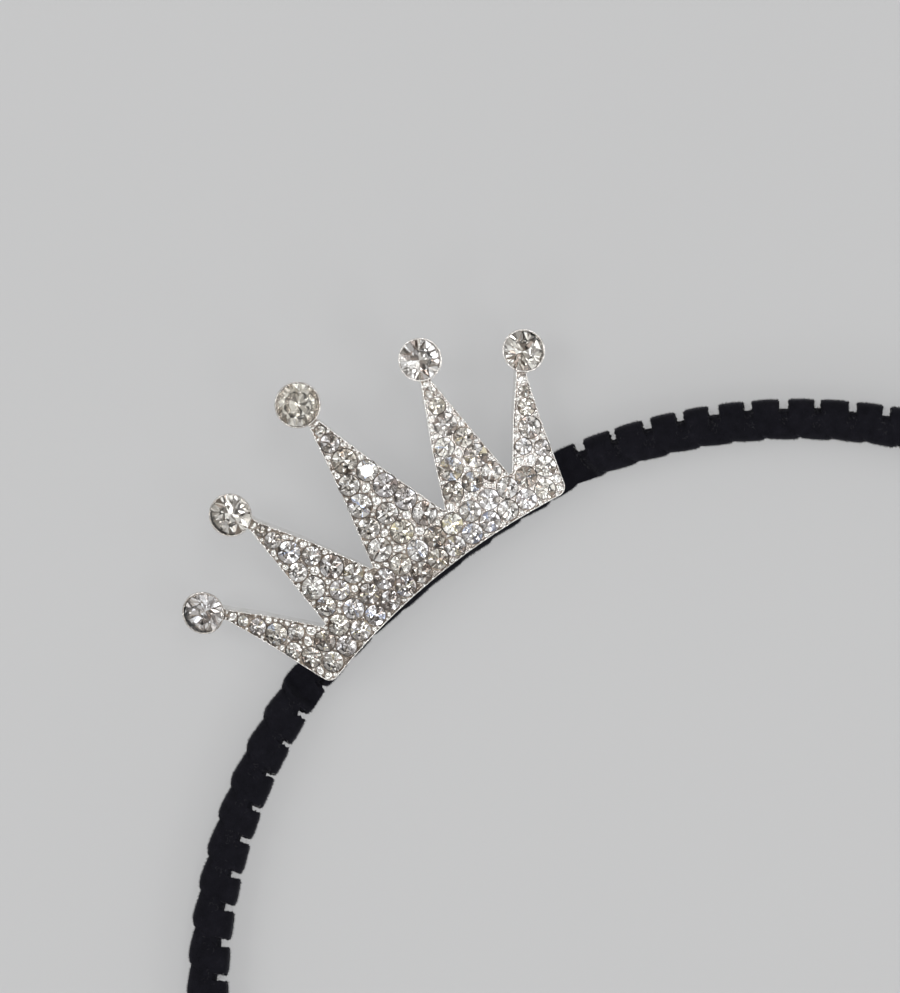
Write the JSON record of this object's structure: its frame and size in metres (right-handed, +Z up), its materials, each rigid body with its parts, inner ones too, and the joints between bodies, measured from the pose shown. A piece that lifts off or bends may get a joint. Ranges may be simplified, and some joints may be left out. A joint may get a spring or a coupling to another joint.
{
  "type": "mini crown headband",
  "caption": "Slim velvet-wound headband with a small bent cast crown on its front, paved with cut stones and with a larger round stone in a cup at the tip of each tine.",
  "frame": {"origin": "on the band's flattened back, the side that it rests on, right behind the middle of the crown", "axes": "+Z up, out of the crown's face; +Y from the ends of the band to the tips of the crown; +X across, to the right of someone looking at the crown's face"},
  "size_m": [0.1334, 0.1456, 0.0089],
  "materials": {
    "velvet": "black velvet ribbon with a short pile",
    "silver_metal": "bright silver-plated casting",
    "clear_stone": "clear cut glass with a foiled back"
  },
  "bodies": {
    "root": {"velvet_band": "velvet", "crown_frame": "silver_metal", "pave_stones": "clear_stone", "tip_stone_left_outer": "clear_stone", "tip_stone_left_inner": "clear_stone", "tip_stone_middle": "clear_stone", "tip_stone_right_inner": "clear_stone", "tip_stone_right_outer": "clear_stone"}
  },
  "joints": []
}
